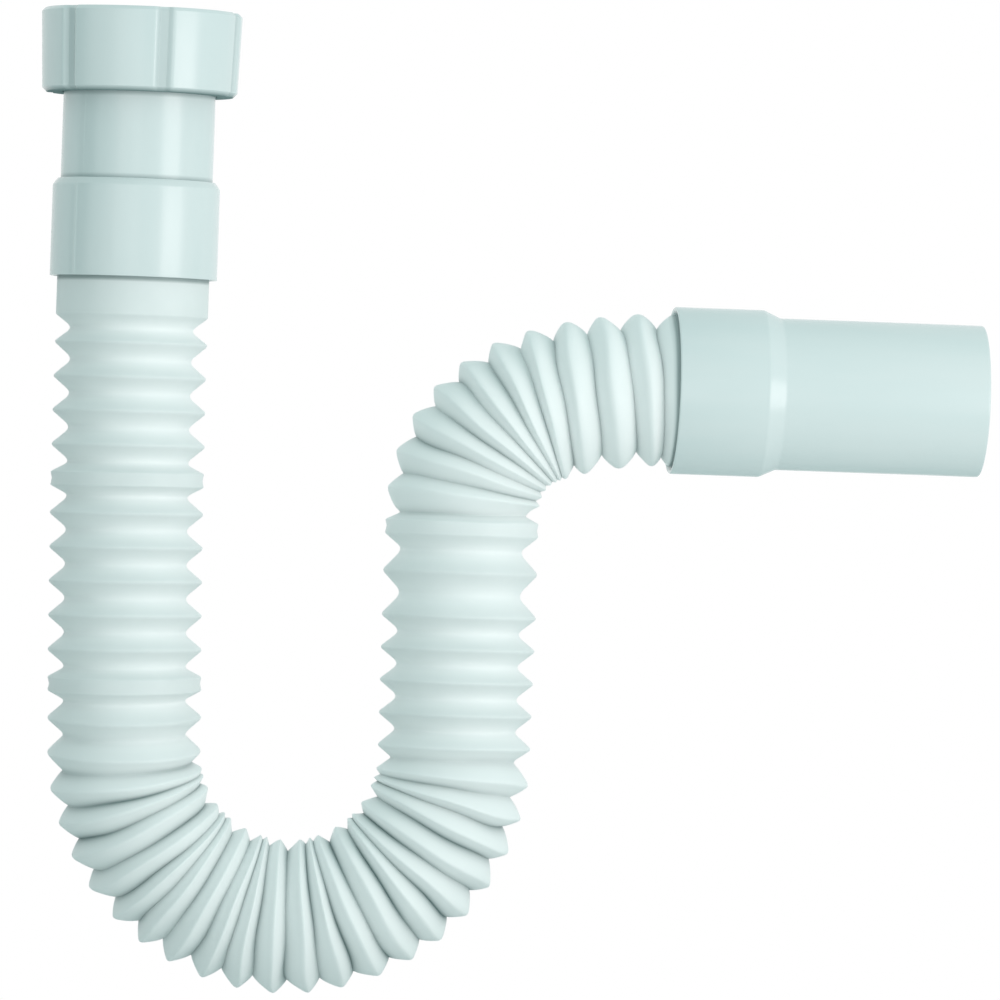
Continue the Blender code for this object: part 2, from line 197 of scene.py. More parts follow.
class HoseSizes(bpy.types.PropertyGroup):
    """Sizes of the pleated hose and of its route."""

    wall: length("Wall", "Thickness of the hose", 1.0 * MM)
    cuff: length("Cuff", "Radius of the plain ends", 20.0 * MM)
    crest: length("Crest", "Radius over the folds", 20.3 * MM)
    depth: length("Depth", "Depth of the folds", 4.5 * MM)
    wide_crest: length("Wide crest", "Flat on the few wide folds", 3.2 * MM)
    wide_dip: length("Wide dip", "Hollow along the wide folds", 0.35 * MM)
    steepest: FloatProperty(name="Steepest", description="Steepest flank where folds crowd",
                            default=1.2)
    leg_pitch: length("Leg pitch", "Spacing of the folds in the drop leg", 9.0 * MM)
    u_pitch: length("U pitch", "Spacing of the folds outside the U", 9.57 * MM)
    riser_foot_pitch: length("Riser foot pitch", "Spacing low in the riser", 8.6 * MM)
    riser_top_pitch: length("Riser top pitch", "Spacing high in the riser", 11.6 * MM)
    elbow_pitch: length("Elbow pitch", "Spacing outside the elbow and the stub", 9.75 * MM)
    groove: length("Groove", "Radius at the floor of the seal grooves", 17.2 * MM)
    groove_floor: length("Groove floor", "Width of the grooves' floor", 2.0 * MM)
    groove_mouth: length("Groove mouth", "Width of the grooves' mouth", 4.8 * MM)
    groove_place: length("Groove place", "From a sleeve's mouth to its groove", 6.5 * MM)
    inlet_grip: length("Inlet grip", "How far the hose goes into the inlet sleeve", 13.1 * MM)
    outlet_grip: length("Outlet grip", "How far the hose goes into the outlet sleeve", 22.0 * MM)
    collar: length("Collar", "Plain stretch below the inlet sleeve", 8.3 * MM)
    collar_reach: length("Collar reach", "How far its edge passes the first fold", 1.5 * MM)
    leg: length("Leg", "Length of the drop leg", 116.3 * MM)
    leg_turn: angle("Leg turn", "How far the drop leg turns", 1.9)
    u_radius: length("U radius", "Radius of the U", 43.4 * MM)
    riser_foot: length("Riser foot", "Length of the riser's lower part", 37.1 * MM)
    riser_top: length("Riser top", "Length of the riser's upper part", 28.5 * MM)
    elbow_radius: length("Elbow radius", "Radius of the elbow", 29.0 * MM)
    elbow_turn: angle("Elbow turn", "How far the elbow turns", 72.0)
    stub_radius: length("Stub radius", "Radius of the stub before the outlet", 110.0 * MM)
    outlet_swing: angle("Outlet swing", "How far the outlet swings sideways", 5.0)
    u_lean: angle("U lean", "How far the folds lean in the U", 1.6)
    u_waves: FloatProperty(name="U waves", description="Waves of leaning folds", default=6.0)
    elbow_lean: angle("Elbow lean", "How far the folds lean in the elbow", 2.0)
    stub_lean: angle("Stub lean", "How far the folds lean in the stub", -3.0)
    nod: angle("Nod", "How far the folds drop towards the front at the U's start", 7.0)
    wobble: length("Wobble", "How far the soft folds are off round", 0.2 * MM)
    waver: length("Waver", "How far the folds wander along the bends", 0.45 * MM)
    # Painted shade in the tight folds of the U and the elbow
    u_crease: share("U crease", "How dark the tight folds in the U are", 0.80)
    elbow_crease: share("Elbow crease", "How dark the tight folds in the elbow are", 0.48)
    # Painted shadow where the hose goes into the sleeves
    mouth_shade: share("Mouth shade", "How dark the hose is at the sleeves' mouths", 0.80)
    sides: count("Sides", "Facets round the hose", 96)


class Finishes(bpy.types.PropertyGroup):
    """Colours and gloss of the three materials."""

    fitting: colour("Fittings", "Colour of the moulded fittings", (0.742, 0.782, 0.780))
    fitting_cool: colour("Fittings, cool", "Colour of their cooler flow marks", (0.690, 0.755, 0.755))
    # Painted shade: the colour painted between the nut's lobes, under its foot and on the neck beside
    # its joints
    fitting_hollow: colour("Fittings, hollow", "Colour in the nut's hollows", (0.26, 0.33, 0.33))
    fitting_gloss: share("Fitting roughness", "Roughness of the fittings", 0.22)
    hose: colour("Hose", "Colour of the soft hose", (0.91, 0.918, 0.913))
    # Painted light: a darker colour painted on the straight legs' crests, so their valleys read as
    # lit
    hose_crest: colour("Hose, crest", "Colour on the straight legs' crests", (0.80, 0.815, 0.81))
    # Painted shade: colour painted into the bends' tight folds and at the sleeves' mouths
    hose_crease: colour("Hose, creased", "Colour in the tight folds of the bends", (0.20, 0.27, 0.27))
    hose_gloss: share("Hose roughness", "Roughness of the hose", 0.50)
    rubber: colour("Rubber", "Colour of the seals", (0.030, 0.031, 0.034))


class StageSettings(bpy.types.PropertyGroup):
    """Camera, lamps and floor."""

    distance: length("Camera distance", "From the camera to the trap", 2.2)
    view_width: length("View width", "Width of the picture at the trap", 263.2 * MM)
    view_x: length("View X", "Middle of the picture, across", 98.5 * MM)
    view_z: length("View Z", "Middle of the picture, up", -113.3 * MM)
    roll: angle("Roll", "Tilt of the camera about its own axis", -2.0)
    floor_drop: length("Floor drop", "From the lowest fold to the floor", 55.0 * MM)
    floor_radius: length("Floor radius", "Radius of the floor", 0.75)
    floor_glow: share("Floor glow", "How much the floor glows to the camera", 0.55)
    key: FloatProperty(name="Key", description="Power of the lamp at the right", default=5.9)
    fill: FloatProperty(name="Fill", description="Power of the front lamp", default=2.2)
    key_size: lengths("Key size", "Width and height of that lamp", (0.75, 0.70))
    key_away: lengths("Key place", "From the trap to that lamp", (1.03, -0.80, 0.0))
    fill_size: lengths("Fill size", "Width and height of the front lamp", (0.90, 0.90))
    fill_away: lengths("Fill place", "From the trap to the front lamp", (-0.35, -1.50, 0.0))
    lamp: colour("Lamps", "Colour of the lamps", (1.0, 0.93, 0.93))
    ambient: FloatProperty(name="Ambient", description="Level of the room's light", default=0.75)
    room: colour("Room", "Colour of the room's light", (0.77, 1.0, 0.99))
    flag: colour("Flag", "Colour of the dark board at the left", (0.05, 0.06, 0.06))
    flag_place: lengths("Flag place", "Middle of that board, across and back", (-0.50, -0.09))
    flag_size: lengths("Flag size", "Height and depth of that board", (0.9, 0.3))


# Modelling by hand

def added(name):
    """The object that was just added, under its own name."""
    piece = bpy.context.object
    piece.name = name
    piece.data.name = name
    return piece


def choose(piece):
    """Select this piece alone."""
    bpy.ops.object.select_all(action="DESELECT")
    piece.select_set(True)
    bpy.context.view_layer.objects.active = piece


def scale_about_z(ratio):
    """Scale what is selected towards or away from the Z axis."""
    bpy.ops.transform.resize(value=(ratio, ratio, 1.0), center_override=(0.0, 0.0, 0.0))


def turn_about_z(turn):
    """Turn what is selected about Z, anticlockwise from above."""
    bpy.ops.transform.rotate(value=-turn, orient_axis="Z", center_override=(0.0, 0.0, 0.0))


def start_ring(name, sides, radius, height):
    """Add a circle about Z at a height, and go on in edit mode."""
    bpy.ops.object.select_all(action="DESELECT")
    bpy.ops.mesh.primitive_circle_add(vertices=sides, radius=radius)
    piece = added(name)
    bpy.ops.object.mode_set(mode="EDIT")
    bpy.ops.mesh.select_mode(type="EDGE")
    bpy.ops.mesh.select_all(action="SELECT")
    bpy.ops.transform.translate(value=(0.0, 0.0, height))
    return piece


def extrude_rings(profile):
    """Extrude and scale the selected ring from corner to corner of a (radius, height) profile."""
    for here, there in zip(profile, profile[1:]):
        rise = (0.0, 0.0, there[1] - here[1])
        bpy.ops.mesh.extrude_region_move(TRANSFORM_OT_translate={"value": rise})
        scale_about_z(there[0] / here[0])


def bridge_open_rings():
    """Join the two open rings that the piece still has."""
    bpy.ops.mesh.select_all(action="DESELECT")
    bpy.ops.mesh.select_non_manifold()
    bpy.ops.mesh.bridge_edge_loops()


def point_outwards():
    """Turn every face out, and leave edit mode."""
    bpy.ops.mesh.select_all(action="SELECT")
    bpy.ops.mesh.normals_make_consistent(inside=False)
    bpy.ops.object.mode_set(mode="OBJECT")


def turned_piece(name, sides, profile):
    """Model a closed turned piece from its (radius, height) corners."""
    piece = start_ring(name, sides, *profile[0])
    extrude_rings(profile)
    bridge_open_rings()
    point_outwards()
    return piece


def pick(piece, test):
    """Select the vertices of a piece in edit mode whose place passes a test."""
    bpy.ops.mesh.select_mode(type="VERT")
    bpy.ops.mesh.select_all(action="DESELECT")
    work = bmesh.from_edit_mesh(piece.data)
    for vertex in work.verts:
        if test(vertex.co):
            vertex.select_set(True)
    work.select_flush_mode()
    bmesh.update_edit_mesh(piece.data)


def pick_edges(piece, test):
    """Select the edges of a piece in edit mode whose two ends pass a test."""
    pick(piece, test)
    bpy.ops.mesh.select_mode(type="EDGE")


def raise_seam(piece, p, radius):
    """Raise the mould's parting line on the outside of a turned piece, on two opposite sides."""
    bpy.context.view_layer.objects.active = piece
    bpy.ops.object.mode_set(mode="EDIT")

    def on_the_line(place):
        around = (math.atan2(place.y, place.x) - p.seam_turn) % math.pi
        beside = min(around, math.pi - around)
        return beside < math.pi / ROUND_SIDES and math.hypot(place.x, place.y) > radius - MM / 10.0

    pick(piece, on_the_line)
    scale_about_z(1.0 + p.seam / radius)
    bpy.ops.object.mode_set(mode="OBJECT")


def soften(piece, width, limit=math.radians(30.0), segments=3):
    """Round the piece's corners with a bevel, and apply it."""
    bevel = piece.modifiers.new("edges", "BEVEL")
    bevel.width = width
    bevel.segments = segments
    bevel.limit_method = "ANGLE"
    bevel.angle_limit = limit
    bevel.harden_normals = False
    bpy.context.view_layer.objects.active = piece
    bpy.ops.object.modifier_apply(modifier=bevel.name)


def shade(piece, limit):
    """Shade the piece smooth up to an angle."""
    choose(piece)
    bpy.ops.object.shade_smooth_by_angle(angle=limit)


def hold(piece, attribute, shares):
    """Have each vertex of a piece carry a share, for its finish to read."""
    held = piece.data.attributes.new(attribute, "FLOAT", "POINT")
    held.data.foreach_set("value", np.asarray(shares, dtype=np.float32))


def must_be_closed(piece):
    """Raise an error where the piece's mesh is open."""
    work = bmesh.new()
    work.from_mesh(piece.data)
    open_edges = [edge for edge in work.edges if not edge.is_manifold]
    work.free()
    if open_edges:
        raise RuntimeError(f"{piece.name} has {len(open_edges)} open edges")


def dress(piece, finish, nodes, limit=math.radians(35.0)):
    """Give a piece its shading and its finish, and hide the nodes it stands for."""
    must_be_closed(piece)
    shade(piece, limit)
    piece.data.materials.clear()
    piece.data.materials.append(look_of(finish))
    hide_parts(*nodes)


# The three materials

def new_look(name):
    """An empty node material with its Principled shader."""
    look = bpy.data.materials.new(name)
    look.use_nodes = True
    return look, look.node_tree, look.node_tree.nodes["Principled BSDF"]


def object_noise(tree, scale, detail, roughness=0.5, stretch=(1.0, 1.0, 1.0)):
    """A noise on the piece's own coordinates, which may be stretched."""
    place = tree.nodes.new("ShaderNodeTexCoord")
    mapping = tree.nodes.new("ShaderNodeMapping")
    mapping.inputs["Scale"].default_value = stretch
    noise = tree.nodes.new("ShaderNodeTexNoise")
    noise.inputs["Scale"].default_value = scale
    noise.inputs["Detail"].default_value = detail
    noise.inputs["Roughness"].default_value = roughness
    tree.links.new(place.outputs["Object"], mapping.inputs["Vector"])
    tree.links.new(mapping.outputs["Vector"], noise.inputs["Vector"])
    return noise.outputs["Fac"]


def share_of(tree, attribute):
    """A share that the piece's vertices carry."""
    held = tree.nodes.new("ShaderNodeAttribute")
    held.attribute_name = attribute
    return held.outputs["Fac"]


def to_range(tree, value, low, high, from_low=0.3, from_high=0.7):
    """Map a noise to a range."""
    spread = tree.nodes.new("ShaderNodeMapRange")
    spread.inputs["From Min"].default_value = from_low
    spread.inputs["From Max"].default_value = from_high
    spread.inputs["To Min"].default_value = low
    spread.inputs["To Max"].default_value = high
    tree.links.new(value, spread.inputs["Value"])
    return spread.outputs["Result"]


def mixed_colour(tree, factor, first, second):
    """A mix of two colours, each a value or a socket."""
    mix = tree.nodes.new("ShaderNodeMix")
    mix.data_type = "RGBA"
    tree.links.new(factor, mix.inputs["Factor"])
    for name, value in (("A", first), ("B", second)):
        socket = [s for s in mix.inputs if s.name == name and s.type == "RGBA"][0]
        if isinstance(value, bpy.types.NodeSocket):
            tree.links.new(value, socket)
        else:
            socket.default_value = (*value, 1.0)
    return [s for s in mix.outputs if s.type == "RGBA"][0]


def bumped(tree, shader, *layers):
    """Stack bumps, each a (height, strength, distance), and give them to the shader."""
    normal = None
    for height, strength, distance in layers:
        bump = tree.nodes.new("ShaderNodeBump")
        bump.inputs["Strength"].default_value = strength
        bump.inputs["Distance"].default_value = distance
        tree.links.new(height, bump.inputs["Height"])
        if normal is not None:
            tree.links.new(normal, bump.inputs["Normal"])
        normal = bump.outputs["Normal"]
    tree.links.new(normal, shader.inputs["Normal"])


def moulded_plastic(finishes, name, stretch):
    """Glossy moulded plastic with faint flow marks, drawn out along the piece, a wavy skin, and
    painted shade where the pieces mark it.
    """
    look, tree, shader = new_look(name)
    flow = object_noise(tree, 70.0, 3.0, 0.55, stretch)
    body = mixed_colour(tree, to_range(tree, flow, 0.0, 0.8), finishes.fitting,
                        finishes.fitting_cool)
    # Painted shade: marked vertices are darkened towards a dark colour
    painted_shade = share_of(tree, "painted_shade")
    tint = mixed_colour(tree, painted_shade, body, finishes.fitting_hollow)
    tree.links.new(tint, shader.inputs["Base Color"])
    patches = object_noise(tree, 220.0, 2.0, 0.5, stretch)
    gloss = finishes.fitting_gloss
    tree.links.new(to_range(tree, patches, gloss - 0.03, gloss + 0.05),
                   shader.inputs["Roughness"])
    skin = object_noise(tree, 1500.0, 2.0, 0.5)
    waves = object_noise(tree, 110.0, 1.0, 0.4, stretch)
    bumped(tree, shader, (waves, 0.14, 0.4 * MM), (skin, 0.035, 0.05 * MM))
    shader.inputs["IOR"].default_value = 1.49
    # Where shade is painted, the specular level drops too
    tree.links.new(to_range(tree, painted_shade, 0.5, 0.0, 0.0, 1.0),
                   shader.inputs["Specular IOR Level"])
    return look


def fitting_plastic(finishes):
    """The plastic of the nut, the neck and the inlet sleeve, which were moulded upright."""
    return moulded_plastic(finishes, "fitting_plastic", (1.0, 1.0, 0.16))


def tail_plastic(finishes):
    """The same plastic on the outlet tail, which was moulded along its own axis."""
    return moulded_plastic(finishes, "tail_plastic", (0.16, 1.0, 1.0))


def hose_plastic(finishes):
    """Satin soft plastic, painted darker on the straight legs' crests as painted light, with painted
    shade in the bends' tight folds and at the sleeves' mouths, and a grain.
    """
    look, tree, shader = new_look("hose_plastic")
    cloud = object_noise(tree, 60.0, 3.0, 0.55)
    # Painted light: the straight legs' crests darkened against their valleys
    crest = to_range(tree, share_of(tree, "crest"), 0.0, 1.0, 0.25, 1.0)
    body = mixed_colour(tree, crest, finishes.hose, finishes.hose_crest)
    cloudy = mixed_colour(tree, to_range(tree, cloud, 0.0, 0.4), body, finishes.hose)
    # Painted shade in the bends' tight folds and at the sleeves' mouths
    tint = mixed_colour(tree, share_of(tree, "painted_fold_shade"), cloudy, finishes.hose_crease)
    tree.links.new(tint, shader.inputs["Base Color"])
    patches = object_noise(tree, 300.0, 4.0, 0.6)
    gloss = finishes.hose_gloss
    tree.links.new(to_range(tree, patches, gloss - 0.07, gloss + 0.12),
                   shader.inputs["Roughness"])
    grain = object_noise(tree, 1800.0, 3.0, 0.6)
    dents = object_noise(tree, 170.0, 2.0, 0.5)
    bumped(tree, shader, (dents, 0.22, 0.5 * MM), (grain, 0.08, 0.05 * MM))
    shader.inputs["IOR"].default_value = 1.49
    shader.inputs["Specular IOR Level"].default_value = 0.32
    shader.inputs["Subsurface Weight"].default_value = 0.08
    shader.inputs["Subsurface Radius"].default_value = (1.0, 1.0, 1.0)
    shader.inputs["Subsurface Scale"].default_value = 1.2 * MM
    return look


def seal_rubber(finishes):
    """Matt black rubber with a powdery grain."""
    look, tree, shader = new_look("seal_rubber")
    dust = object_noise(tree, 420.0, 5.0, 0.65)
    dusty = tuple(channel + 0.035 for channel in finishes.rubber)
    tint = mixed_colour(tree, to_range(tree, dust, 0.0, 0.7), finishes.rubber, dusty)
    tree.links.new(tint, shader.inputs["Base Color"])
    tree.links.new(to_range(tree, dust, 0.68, 0.86), shader.inputs["Roughness"])
    grain = object_noise(tree, 3500.0, 3.0, 0.6)
    bumped(tree, shader, (grain, 0.25, 0.08 * MM))
    return look


def look_of(finish):
    """The material that a finish makes, made the first time it is asked for."""
    return bpy.data.materials.get(finish.__name__) or finish(bpy.context.scene.trap_finishes)


# The route of the hose, as the frame has it

def direction(heading):
    """Unit vector in the XZ plane at an angle above +X."""
    return Vector((math.cos(heading), 0.0, math.sin(heading)))


def swung(vector, swing):
    """A vector turned about Z, from +X towards +Y."""
    return Matrix.Rotation(swing, 3, "Z") @ vector


def step_along(point, heading, distance, turn):
    """End point and heading of a stretch that turns evenly over its length."""
    if abs(turn) < 1e-9:
        return point + distance * direction(heading), heading
    radius = distance / turn
    start_side = direction(heading - math.pi / 2.0)
    end_side = direction(heading + turn - math.pi / 2.0)
    return point + radius * (end_side - start_side), heading + turn


def hose_stretches(h):
    """The hose's stretches as (length, turn, lean, waves, swing), from the inlet sleeve."""
    u_turn = math.pi - h.leg_turn
    stub_turn = math.pi / 2.0 - h.elbow_turn
    return (
        (h.collar, 0.0, 0.0, 0.0, 0.0),
        (h.leg, h.leg_turn, 0.0, 0.0, 0.0),
        (h.u_radius * u_turn, u_turn, h.u_lean, h.u_waves, 0.0),
        (h.riser_foot, 0.0, 0.0, 0.0, 0.0),
        (h.riser_top, 0.0, 0.0, 0.0, 0.0),
        (h.elbow_radius * h.elbow_turn, -h.elbow_turn, h.elbow_lean, 0.5, 0.0),
        (h.stub_radius * stub_turn, -stub_turn, h.stub_lean, 1.0, h.outlet_swing),
    )


def hose_station(h, distance):
    """Centre, heading, swing, lean and outer side at a distance from the inlet sleeve's mouth."""
    start = Vector((0.0, 0.0, SLEEVE_LOW.z))
    heading = -math.pi / 2.0
    if distance <= 0.0:
        return start + distance * direction(heading), heading, 0.0, 0.0, -1.0
    outer = -1.0
    swing = 0.0
    for stretch, turn, lean, waves, swing in hose_stretches(h):
        if turn != 0.0:
            outer = -math.copysign(1.0, turn)
        part = min(1.0, distance / stretch)
        end, end_heading = step_along(start, heading, stretch * part, turn * part)
        centre = start + swung(end - start, swing * part / 2.0)
        if distance <= stretch:
            lean_here = lean * math.sin(FULL_TURN * waves * part)
            return centre, end_heading, swing * part, lean_here, outer
        start, heading = centre, end_heading
        distance -= stretch
    return start + distance * swung(direction(heading), swing), heading, swing, 0.0, outer


def route_length(h):
    """Length of the centreline from one sleeve's mouth to the other's."""
    return sum(stretch[0] for stretch in hose_stretches(h))


def crest_distances(h):
    """Distances of the crests, spaced by each stretch's pitch along the outside of the bends."""
    collar, leg, *bends = hose_stretches(h)
    leg_folds = max(1, round(leg[0] / h.leg_pitch))
    crests = [collar[0] + leg[0] * k / leg_folds for k in range(leg_folds + 1)]
    pitches = (h.u_pitch, h.riser_foot_pitch, h.riser_top_pitch, h.elbow_pitch, h.elbow_pitch)
    folds = [(stretch[0] + abs(stretch[1]) * h.crest) / pitch
             for stretch, pitch in zip(bends, pitches)]
    bend_folds = max(1, round(sum(folds)))
    for k in range(1, bend_folds + 1):
        remaining = sum(folds) * k / bend_folds
        distance = collar[0] + leg[0]
        for stretch, held in zip(bends, folds):
            part = min(1.0, remaining / held)
            distance += stretch[0] * part
            remaining -= held * part
        crests.append(distance)
    crests[0] += h.collar_reach
    return crests


# The folds of the hose

WIDE_CRESTS = (5, 11, 40)
SPLIT_VALLEY = 22
OUTER_STEPS = 9
INNER_STEPS = 3
CLOSING_POWER = 8.0

# How far outside a bend the folds start to crowd, and over what length they do
U_LEAD = 10.0 * MM
RISER_LEAD = 12.0 * MM
U_FADE = 25.0 * MM
ELBOW_FADE = 20.0 * MM

# Where the folds start and stop to nod, from the drop leg's end, and over what length
NOD_START = -30.0 * MM
NOD_RISE = 34.0 * MM
NOD_STOP = 72.0 * MM
NOD_FALL = 50.0 * MM

# The puffed folds before the outlet sleeve
PUFF_LENGTH = 42.0 * MM
PUFF_FADE = 12.0 * MM

# Shares in the straight legs, and what a bend and the puffed folds add to each
VALLEY_ROUND = (0.30, -0.27, 0.0)
CREST_ROUND = (0.14, 0.04, 0.20)
FULLNESS = (1.0, -0.16, -0.10)
LOOSE_DEPTH = (0.05, 0.17, 0.0)
VALLEY_SHIFT = (0.0, 0.13, 0.0)

# How far the hose is off round and off its place, and the waves that it follows
CREST_DIP = 0.15 * MM
ROUND_WAVE = 9.0 * MM
WANDER_WAVE = 9.3 * MM

# The painted shadow at the sleeves' mouths, and the rings near the inlet's that carry it
MOUTH_DARK = 0.4 * MM
MOUTH_FADE = 1.1 * MM
MOUTH_RINGS = (-2.2 * MM, -1.4 * MM, -0.6 * MM, 0.6 * MM)

# What sets apart the uneven values of each kind
CREASE_SEED = 8.3
FLOOR_SEED = 5.1
SHIFT_SEED = 2.9
DIP_SEED = 1.7


def eased(value):
    """A share eased in and out."""
    value = min(1.0, max(0.0, value))
    return value * value * (3.0 - 2.0 * value)


def uneven(number, seed):
    """A steady uneven value between -1 and 1 for a fold."""
    return math.sin(number * 12.9898 + seed * 78.233)


def route_marks(h):
    """Distances at which the drop leg, the U and the riser end."""
    ends = list(accumulate(stretch[0] for stretch in hose_stretches(h)))
    return ends[1], ends[2], ends[4]


def bend_amount(h, distance):
    """How much the hose is bent at a distance, from 0 in the straight legs to 1."""
    leg_end, u_end, riser_end = route_marks(h)
    into_u = eased((distance - leg_end + U_LEAD) / U_FADE)
    out_of_u = eased((u_end + RISER_LEAD - distance) / U_FADE)
    into_elbow = eased((distance - riser_end + RISER_LEAD) / ELBOW_FADE)
    return max(into_u * out_of_u, into_elbow)


def level(shares, bend, puffed=0.0):
    """A share in the straight legs, with what a bend and the puffed folds add."""
    return shares[0] + shares[1] * bend + shares[2] * puffed


def nod_at(h, distance):
    """How far the fold at a distance drops towards the front."""
    from_leg = distance - route_marks(h)[0]
    return h.nod * eased((from_leg - NOD_START) / NOD_RISE) * eased((NOD_STOP - from_leg) / NOD_FALL)


def ring_points(h, distance, radii, angles):
    """The points of one ring, leaning about the outside of its bend."""
    centre, heading, swing, lean, outer = hose_station(h, distance)
    side = direction(heading + outer * lean + math.pi / 2.0)
    along = direction(heading + outer * lean)
    nod = nod_at(h, distance)
    width = math.cos(nod) * Vector((0.0, 1.0, 0.0)) - math.sin(nod) * along
    middle = outer * h.crest * (direction(heading + math.pi / 2.0) - side)
    spokes = np.outer(radii * np.cos(angles), side) + np.outer(radii * np.sin(angles), width)
    spokes += np.outer(wander(h, distance, outer, angles), along)
    turn = np.array(Matrix.Rotation(swing, 3, "Z"))
    return np.array(centre) + (np.array(middle) + spokes) @ turn.T


def wander(h, distance, outer, angles):
    """How far a ring strays along the hose: only in the bends, and not on their inside."""
    phase = distance / WANDER_WAVE
    outside = (1.0 + outer * np.cos(angles)) / 2.0
    waves = np.sin(3.0 * angles + 2.1 * phase) + 0.7 * np.sin(5.0 * angles - 3.4 * phase)
    return h.waver * bend_amount(h, distance) * outside * waves / 1.7


def flank_height(part, valley_round, crest_round):
    """Height of a flank, from 0 in the valley to 1 on the crest, with both corners rounded."""
    slope = 1.0 / (1.0 - (valley_round + crest_round) / 2.0)
    if part < valley_round:
        return slope * part * part / (2.0 * valley_round)
    if part > 1.0 - crest_round:
        return 1.0 - slope * (1.0 - part) ** 2 / (2.0 * crest_round)
    return slope * (part - valley_round / 2.0)


def creased(h, number, valley, angles):
    """How much painted shade each point of a valley gets: only in the bends, most in the U, and
    unevenly.
    """
    in_elbow = valley > route_marks(h)[2] - RISER_LEAD
    darkest = h.elbow_crease if in_elbow else h.u_crease
    fold = darkest * (1.0 + 0.35 * uneven(number, CREASE_SEED))
    along = 0.75 + 0.25 * np.sin(2.0 * angles + 2.4 * number)
    return np.minimum(1.0, bend_amount(h, valley) * fold * along)


def shadow_at(h, distance):
    """How much painted shadow the hose gets close to a sleeve's mouth."""
    near = min(abs(distance), abs(distance - route_length(h)))
    return h.mouth_shade * (1.0 - eased((near - MOUTH_DARK) / MOUTH_FADE))


def flank_rows(h, low, high, floor, top, dark, steps):
    """Rings up one flank, from the valley, as (distance, radii, height, painted shade)."""
    bend = bend_amount(h, high)
    puffed = eased((high - route_length(h) + PUFF_LENGTH) / PUFF_FADE)
    rounding = level(VALLEY_ROUND, bend, puffed), level(CREST_ROUND, bend, puffed)
    rows = []
    for k in range(steps + 1):
        part = (1.0 - math.cos(math.pi * k / steps)) / 2.0
        height = flank_height(part, *rounding) ** level(FULLNESS, bend, puffed)
        # The valley's painted shade fades up the flank
        rows.append((low + (high - low) * part, floor + (top - floor) * height, height,
                     dark * (1.0 - height) ** 3))
    return rows


def valley_floors(h, crests, angles):
    """Radii of each valley, which stays shallow where its two crests crowd together."""
    rings = [ring_points(h, crest, h.crest, angles) for crest in crests]
    floors = []
    for number, (before, here) in enumerate(zip(rings, rings[1:])):
        bend = bend_amount(h, (crests[number] + crests[number + 1]) / 2.0)
        loose = level(LOOSE_DEPTH, bend) * (1.0 + uneven(number, FLOOR_SEED)) / 2.0
        depth = h.depth * (1.0 - loose)
        room = h.steepest * np.linalg.norm(here - before, axis=1) / 2.0
        closing = (depth ** CLOSING_POWER + room ** CLOSING_POWER) ** (1.0 / CLOSING_POWER)
        floors.append(h.crest - depth * room / closing)
    return floors


def crest_radii(h, number, distance, angles):
    """Radii of one crest, a little off round, and never past the hose's own size."""
    if number in (0, len(crest_distances(h)) - 1):
        return np.full(len(angles), h.cuff)
    phase = distance / ROUND_WAVE
    slow = np.sin(2.0 * angles + 0.9 * phase) + 0.6 * np.sin(3.0 * angles - 1.7 * phase)
    quick = 0.35 * np.sin(7.0 * angles + 2.3 * phase)
    dip = CREST_DIP * (1.0 + uneven(number, DIP_SEED)) / 2.0
    return h.crest - dip - 0.5 * h.wobble * (1.0 + (slow + quick) / 1.95)


def fold_rows(h, steps, angles):
    """Rings over all the folds, from the first crest to the last, and where each valley is."""
    crests = crest_distances(h)
    floors = valley_floors(h, crests, angles)
    tops = [crest_radii(h, number, place, angles) for number, place in enumerate(crests)]
    rows = []
    valleys = []
    for number in range(1, len(crests)):
        before, here = crests[number - 1], crests[number]
        start = before + (h.wide_crest / 2.0 if number - 1 in WIDE_CRESTS else 0.0)
        end = here - (h.wide_crest / 2.0 if number in WIDE_CRESTS else 0.0)
        valley = (before + here) / 2.0
        shift = level(VALLEY_SHIFT, bend_amount(h, valley)) * uneven(number, SHIFT_SEED)
        valley += shift * (here - before)
        floor = floors[number - 1]
        # Painted shade for this valley
        dark = creased(h, number, valley, angles)
        down = flank_rows(h, valley, start, floor, tops[number - 1], dark, steps)
        up = flank_rows(h, valley, end, floor, tops[number], dark, steps)
        rows += down[::-1]
        valleys.append(len(rows) - 1)
        rows += up[1:]
        if number in WIDE_CRESTS:
            rows.append((here, tops[number] - h.wide_dip, 1.0, 0.0))
    return rows, valleys


def cuff_rows(h, mouth, outwards):
    """Rings along a cuff from its sleeve's mouth inwards, round its seal groove."""
    half_floor = h.groove_floor / 2.0
    half_mouth = h.groove_mouth / 2.0
    grip = h.outlet_grip if outwards > 0.0 else h.inlet_grip
    # The inlet's extra rings carry the painted shadow at its mouth
    near = MOUTH_RINGS[-1:] if outwards > 0.0 else MOUTH_RINGS
    shape = [(along, h.cuff) for along in near] + [
        (h.groove_place - half_mouth, h.cuff),
        (h.groove_place - half_floor, h.groove),
        (h.groove_place + half_floor, h.groove),
        (h.groove_place + half_mouth, h.cuff),
        (grip, h.cuff),
    ]
    return [(mouth + outwards * along, radius, 1.0, 0.0) for along, radius in shape]


def half_rows(h, first, steps, angles):
    """The rings of one half of the hose, from its cuff's end to the split valley."""
    rows, valleys = fold_rows(h, steps, angles)
    split = valleys[SPLIT_VALLEY - 1]
    if first:
        return cuff_rows(h, 0.0, -1.0)[::-1] + rows[:split + 1]
    return rows[split:] + cuff_rows(h, route_length(h), 1.0)


def grid_piece(name, columns, rows):
    """Add a grid, and say in which column and row each of its vertices lies."""
    bpy.ops.object.select_all(action="DESELECT")
    bpy.ops.mesh.primitive_grid_add(x_subdivisions=columns, y_subdivisions=rows, size=1.0)
    piece = added(name)
    flat = np.empty(len(piece.data.vertices) * 3)
    piece.data.vertices.foreach_get("co", flat)
    shares = flat.reshape(-1, 3) + 0.5
    across = np.rint(shares[:, 0] * columns).astype(int)
    along = np.rint(shares[:, 1] * rows).astype(int)
    return piece, across, along


